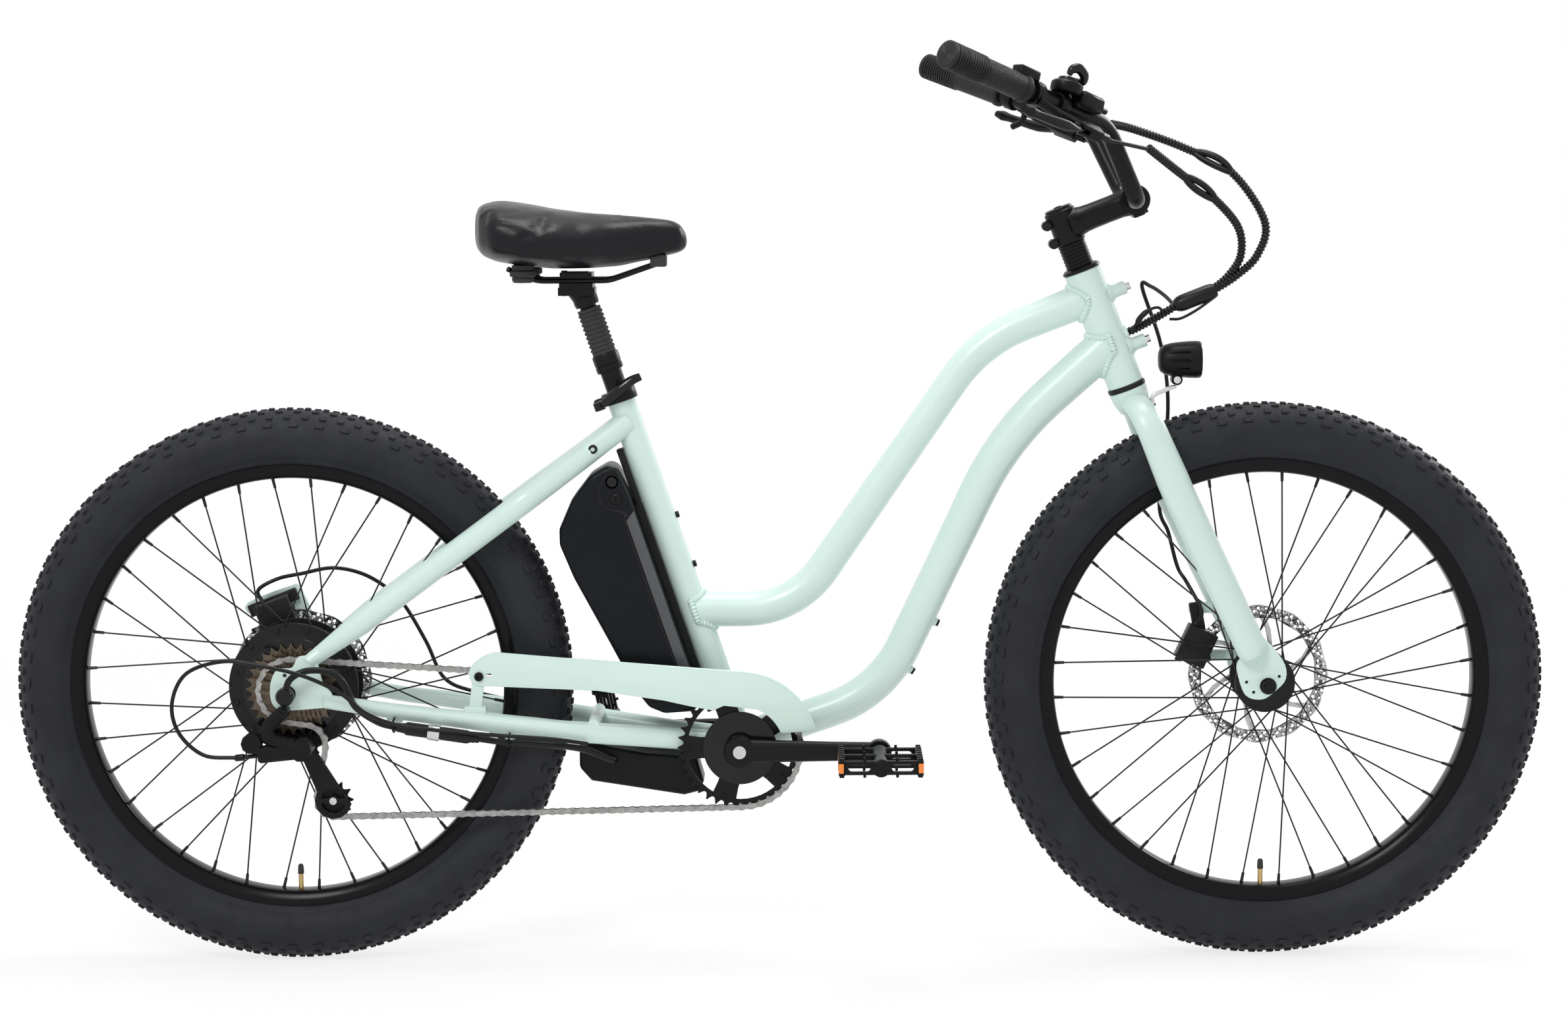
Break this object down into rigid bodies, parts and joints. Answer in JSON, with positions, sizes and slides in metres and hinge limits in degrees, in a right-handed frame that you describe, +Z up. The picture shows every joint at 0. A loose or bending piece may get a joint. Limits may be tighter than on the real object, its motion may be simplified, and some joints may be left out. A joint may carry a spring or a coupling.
{
  "type": "electric bicycle",
  "caption": "Step-through cruiser bicycle with swept bars, wide tyres, hub motor, battery behind the seat tube, disc brakes, suspended saddle and a derailleur drive.",
  "frame": {"origin": "on the ground, midway between the two axles and in the bicycle's middle plane", "axes": "+X ahead, +Y to the rider's left (the drive side is -Y), +Z up"},
  "size_m": [1.9438, 0.629, 1.1568],
  "materials": {
    "frame_paint": "satin",
    "black_paint": "satin",
    "dark_alloy": "satin",
    "rim_black": "satin",
    "bright_steel": "brushed",
    "chain_steel": "satin",
    "bolt_silver": "polished",
    "rail_grey": "satin",
    "tyre_black": "matt",
    "black_rubber": "matt",
    "cable_black": "satin",
    "black_plastic": "matt",
    "gloss_black": "gloss",
    "saddle_cover": "soft sheen",
    "amber": "gloss",
    "clear_lens": "clear"
  },
  "bodies": {
    "frame_body": {"frame": "frame_paint", "bottom_bracket": "bright_steel", "headset_lower_cup": "dark_alloy", "rear_axle": "dark_alloy", "rear_caliper": "dark_alloy", "seat_collar": "dark_alloy", "chain": "chain_steel", "chain_guard": "frame_paint", "battery_dock": "rail_grey", "controller_box": "black_plastic", "motor_cable": "cable_black", "derailleur_cable": "cable_black", "rear_brake_cable": "cable_black", "derailleur_body": "dark_alloy", "control_loom": "cable_black"},
    "steering_body": {"fork": "frame_paint", "headset_spacers": "dark_alloy", "stem": "black_paint", "handlebar": "black_paint", "grip_right": "black_rubber", "grip_left": "black_rubber", "lever_mount_right": "black_plastic", "lever_mount_left": "black_plastic", "shifter_body": "black_plastic", "headlight_bracket": "black_paint", "front_axle": "bright_steel", "front_caliper": "dark_alloy", "front_brake_cable": "cable_black"},
    "front_wheel_body": {"front_wheel_rim": "rim_black", "front_tyre": "tyre_black", "front_rotor": "bright_steel"},
    "rear_wheel_body": {"rear_hub_motor": "dark_alloy", "rear_wheel_rim": "rim_black", "rear_tyre": "tyre_black", "rear_rotor": "bright_steel"},
    "freewheel_body": {"freewheel": "chain_steel"},
    "crank_body": {"crank_right": "black_paint", "crank_left": "black_paint", "chainring": "black_paint"},
    "pedal_right_body": {"pedal_right": "black_plastic"},
    "pedal_left_body": {"pedal_left": "black_plastic"},
    "cage_body": {"derailleur_cage": "chain_steel"},
    "guide_pulley_body": {"guide_pulley": "black_plastic"},
    "tension_pulley_body": {"tension_pulley": "black_plastic"},
    "seatpost_body": {"seatpost": "black_paint", "seatpost_bellows": "black_rubber"},
    "seat_body": {"seatpost_head": "black_paint", "saddle_rails": "black_paint", "saddle": "saddle_cover"},
    "collar_lever_body": {"seat_collar_lever": "bolt_silver"},
    "brake_lever_right_body": {"brake_lever_right": "black_paint"},
    "brake_lever_left_body": {"brake_lever_left": "black_paint"},
    "shift_lever_body": {"shift_lever": "black_plastic"},
    "throttle_body": {"throttle": "black_plastic"},
    "headlight_body": {"headlight": "gloss_black"},
    "front_caliper_arm_body": {"front_caliper_arm": "dark_alloy"},
    "rear_caliper_arm_body": {"rear_caliper_arm": "dark_alloy"},
    "battery_body": {"battery": "black_plastic"},
    "power_switch_body": {"power_switch": "black_plastic"},
    "battery_lock_body": {"battery_lock": "bolt_silver"}
  },
  "joints": [
    {"name": "steering", "type": "hinge", "parent": "frame_body", "child": "steering_body", "pos_m": [0.4408, 0, 0.733], "axis": [-0.3616, 0, 0.9323], "range_deg": [-45, 45], "deforming": ["control_loom"]},
    {"name": "front_wheel_spin", "type": "hinge", "parent": "steering_body", "child": "front_wheel_body", "pos_m": [0.6164, 0, 0.3555], "axis": [0, 1, 0], "continuous": true},
    {"name": "rear_wheel_spin", "type": "hinge", "parent": "frame_body", "child": "rear_wheel_body", "pos_m": [-0.6164, 0, 0.3555], "axis": [0, 1, 0], "continuous": true},
    {"name": "freewheel_spin", "type": "hinge", "parent": "frame_body", "child": "freewheel_body", "pos_m": [-0.6164, 0, 0.3555], "axis": [0, 1, 0], "continuous": true},
    {"name": "crank_spin", "type": "hinge", "parent": "frame_body", "child": "crank_body", "pos_m": [-0.049, 0, 0.28], "axis": [0, 1, 0], "continuous": true},
    {"name": "pedal_right_spin", "type": "hinge", "parent": "crank_body", "child": "pedal_right_body", "pos_m": [0.126, -0.093, 0.28], "axis": [0, 1, 0], "continuous": true},
    {"name": "pedal_left_spin", "type": "hinge", "parent": "crank_body", "child": "pedal_left_body", "pos_m": [-0.224, 0.093, 0.28], "axis": [0, 1, 0], "continuous": true},
    {"name": "cage_swing", "type": "hinge", "parent": "frame_body", "child": "cage_body", "pos_m": [-0.5989, -0.05, 0.2865], "axis": [0, 1, 0], "range_deg": [-25, 20], "stiffness_Nm_per_rad": 6, "deforming": ["chain"]},
    {"name": "guide_pulley_spin", "type": "hinge", "parent": "cage_body", "child": "guide_pulley_body", "pos_m": [-0.5989, -0.05, 0.2865], "axis": [0, 1, 0], "continuous": true},
    {"name": "tension_pulley_spin", "type": "hinge", "parent": "cage_body", "child": "tension_pulley_body", "pos_m": [-0.5641, -0.05, 0.2156], "axis": [0, 1, 0], "continuous": true},
    {"name": "seatpost_height", "type": "slide", "parent": "frame_body", "child": "seatpost_body", "axis": [-0.3206, 0, 0.9472], "range_m": [-0.02, 0.08]},
    {"name": "seat_suspension", "type": "slide", "parent": "seatpost_body", "child": "seat_body", "axis": [-0.3206, 0, 0.9472], "range_m": [-0.04, 0], "stiffness_N_per_m": 16000, "springref_m": 0.012, "deforming": ["seatpost_bellows"]},
    {"name": "collar_lever_turn", "type": "hinge", "parent": "frame_body", "child": "collar_lever_body", "pos_m": [-0.22334, -0.0168, 0.71085], "axis": [-0.3206, 0, 0.9472], "range_deg": [-140, 0]},
    {"name": "brake_lever_right_squeeze", "type": "hinge", "parent": "steering_body", "child": "brake_lever_right_body", "pos_m": [0.37079, -0.18306, 1.0542], "axis": [-0.5998, 0.3207, -0.7331], "range_deg": [0, 14], "stiffness_Nm_per_rad": 2, "springref_deg": -5.73},
    {"name": "brake_lever_left_squeeze", "type": "hinge", "parent": "steering_body", "child": "brake_lever_left_body", "pos_m": [0.37079, 0.18306, 1.0542], "axis": [0.5998, 0.3207, 0.7331], "range_deg": [0, 14], "stiffness_Nm_per_rad": 2, "springref_deg": -5.73},
    {"name": "shift_lever_turn", "type": "hinge", "parent": "steering_body", "child": "shift_lever_body", "pos_m": [0.35289, -0.17296, 1.10933], "axis": [0.2129, 0.1971, 0.957], "range_deg": [-30, 30], "stiffness_Nm_per_rad": 0.3},
    {"name": "throttle_turn", "type": "hinge", "parent": "steering_body", "child": "throttle_body", "pos_m": [0.33592, 0.17777, 1.08505], "axis": [0.7022, -0.6502, -0.2901], "range_deg": [0, 30], "stiffness_Nm_per_rad": 0.5, "springref_deg": -5.73},
    {"name": "headlight_tilt", "type": "hinge", "parent": "steering_body", "child": "headlight_body", "pos_m": [0.5048, 0, 0.739], "axis": [0, 1, 0], "range_deg": [-20, 20]},
    {"name": "front_caliper_arm_turn", "type": "hinge", "parent": "steering_body", "child": "front_caliper_arm_body", "pos_m": [0.52668, 0.0516, 0.39734], "axis": [0, 1, 0], "range_deg": [0, 20]},
    {"name": "rear_caliper_arm_turn", "type": "hinge", "parent": "frame_body", "child": "rear_caliper_arm_body", "pos_m": [-0.65556, 0.0641, 0.42402], "axis": [0, 1, 0], "range_deg": [0, 20]},
    {"name": "battery_slide", "type": "slide", "parent": "frame_body", "child": "battery_body", "axis": [-0.3206, 0, 0.9472], "range_m": [0, 0.008]},
    {"name": "power_rocker", "type": "hinge", "parent": "battery_body", "child": "power_switch_body", "pos_m": [-0.2075, -0.038, 0.61697], "axis": [-0.3206, 0, 0.9472], "range_deg": [-6, 6]},
    {"name": "battery_lock_turn", "type": "hinge", "parent": "battery_body", "child": "battery_lock_body", "pos_m": [-0.20234, -0.037, 0.59549], "axis": [0, 1, 0], "range_deg": [0, 90]}
  ],
  "couplings": [
    {"joint": "freewheel_spin", "follows": "crank_spin", "ratio": 1.9},
    {"joint": "guide_pulley_spin", "follows": "crank_spin", "ratio": -3.4545},
    {"joint": "tension_pulley_spin", "follows": "crank_spin", "ratio": 3.4545},
    {"joint": "front_caliper_arm_turn", "follows": "brake_lever_left_squeeze", "ratio": 1.4},
    {"joint": "rear_caliper_arm_turn", "follows": "brake_lever_right_squeeze", "ratio": 1.4}
  ]
}
